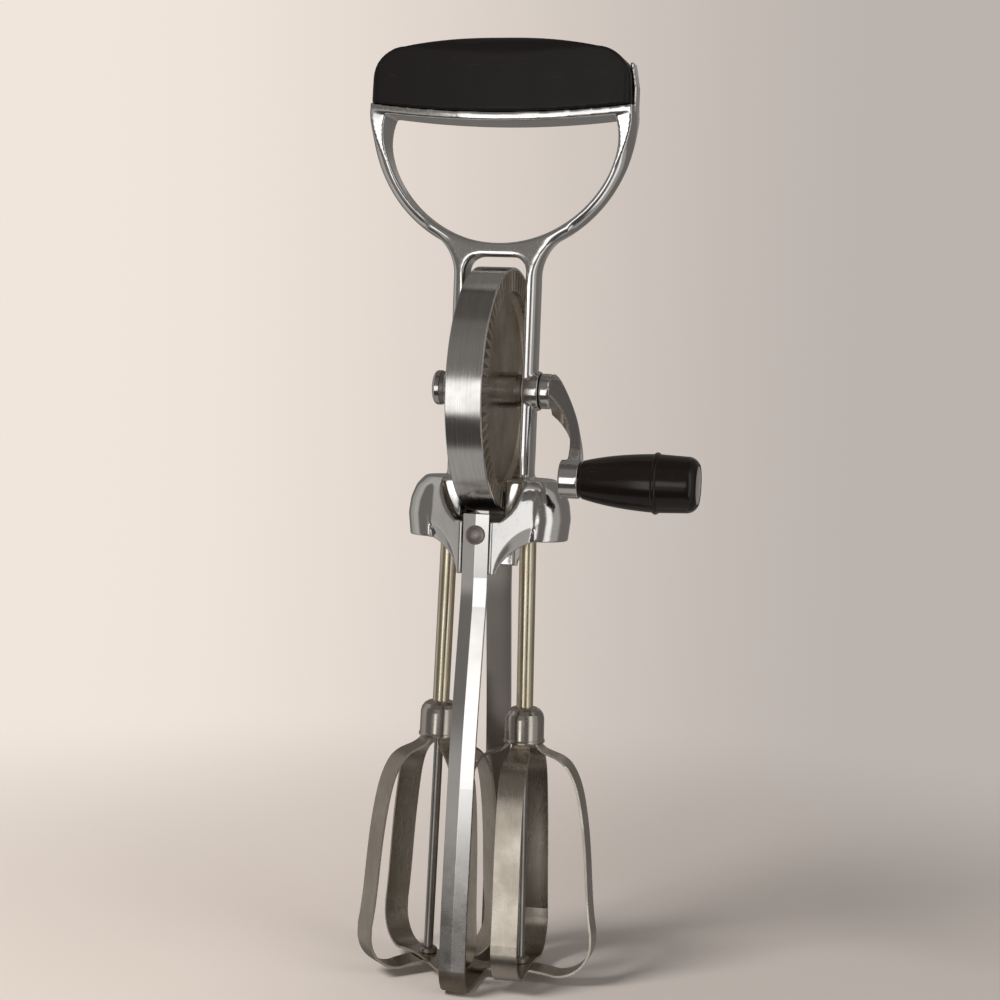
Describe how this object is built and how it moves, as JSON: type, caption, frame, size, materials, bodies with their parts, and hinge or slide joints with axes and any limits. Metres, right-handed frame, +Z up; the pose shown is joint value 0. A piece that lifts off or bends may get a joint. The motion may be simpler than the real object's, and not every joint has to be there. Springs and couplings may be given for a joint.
{
  "type": "hand-cranked egg beater",
  "caption": "Hand-cranked rotary egg beater with a D-shaped grip, toothed drive wheel, counter-turning looped beaters and a leg loop to rest on.",
  "frame": {"origin": "underside of the leg loop, on the tool's centre line", "axes": "+Z up the tool to the grip, +X to the crank side, -Y to the front"},
  "size_m": [0.1133, 0.078, 0.3012],
  "materials": {
    "cast_chrome": "polished chromed casting, lightly worn",
    "strip_chrome": "polished plated strip",
    "black_plastic": "moulded black, semi-gloss",
    "dull_steel": "dull brown-grey steel",
    "nickel_band": "brushed plated band",
    "gear_steel": "oily dark steel",
    "axle_steel": "polished steel",
    "sleeve_steel": "polished warm steel",
    "cap_steel": "polished drawn steel",
    "blade_steel": "satin stainless steel",
    "spindle_steel": "drawn steel rod",
    "knob_plastic": "moulded black-brown, glossy"
  },
  "bodies": {
    "main_frame": {"frame": "cast_chrome", "handle_grip": "black_plastic", "leg": "strip_chrome", "front_rivet": "dull_steel", "back_rivet": "dull_steel", "left_spindle": "spindle_steel", "right_spindle": "spindle_steel"},
    "crank_set": {"rim_band": "nickel_band", "right_gear_face": "gear_steel", "left_gear_face": "gear_steel", "wheel_hub": "axle_steel", "axle": "axle_steel", "right_axle_washer": "dull_steel", "left_axle_washer": "dull_steel", "axle_end_washer": "dull_steel", "crank": "cast_chrome", "knob_pin": "axle_steel"},
    "turning_knob": {"knob": "knob_plastic"},
    "left_beater": {"left_pinion": "gear_steel", "left_sleeve": "sleeve_steel", "left_cap": "cap_steel", "left_blade_outer": "blade_steel", "left_blade_inner": "blade_steel", "left_collar": "dull_steel"},
    "right_beater": {"right_pinion": "gear_steel", "right_sleeve": "sleeve_steel", "right_cap": "cap_steel", "right_blade_outer": "blade_steel", "right_blade_inner": "blade_steel", "right_collar": "dull_steel"}
  },
  "joints": [
    {"name": "crank_spin", "type": "hinge", "parent": "main_frame", "child": "crank_set", "pos_m": [0, 0, 0.1907], "axis": [1, 0, 0], "continuous": true},
    {"name": "left_beater_spin", "type": "hinge", "parent": "main_frame", "child": "left_beater", "pos_m": [-0.014, 0, 0.0892], "axis": [0.0175, 0, 0.9998], "continuous": true},
    {"name": "right_beater_spin", "type": "hinge", "parent": "main_frame", "child": "right_beater", "pos_m": [0.014, 0, 0.0892], "axis": [-0.0175, 0, 0.9998], "continuous": true},
    {"name": "knob_spin", "type": "hinge", "parent": "crank_set", "child": "turning_knob", "pos_m": [0.05, -0.02398, 0.16453], "axis": [1, 0, 0], "continuous": true}
  ],
  "couplings": [
    {"joint": "left_beater_spin", "follows": "crank_spin", "ratio": 4.4},
    {"joint": "right_beater_spin", "follows": "crank_spin", "ratio": -4.4}
  ]
}
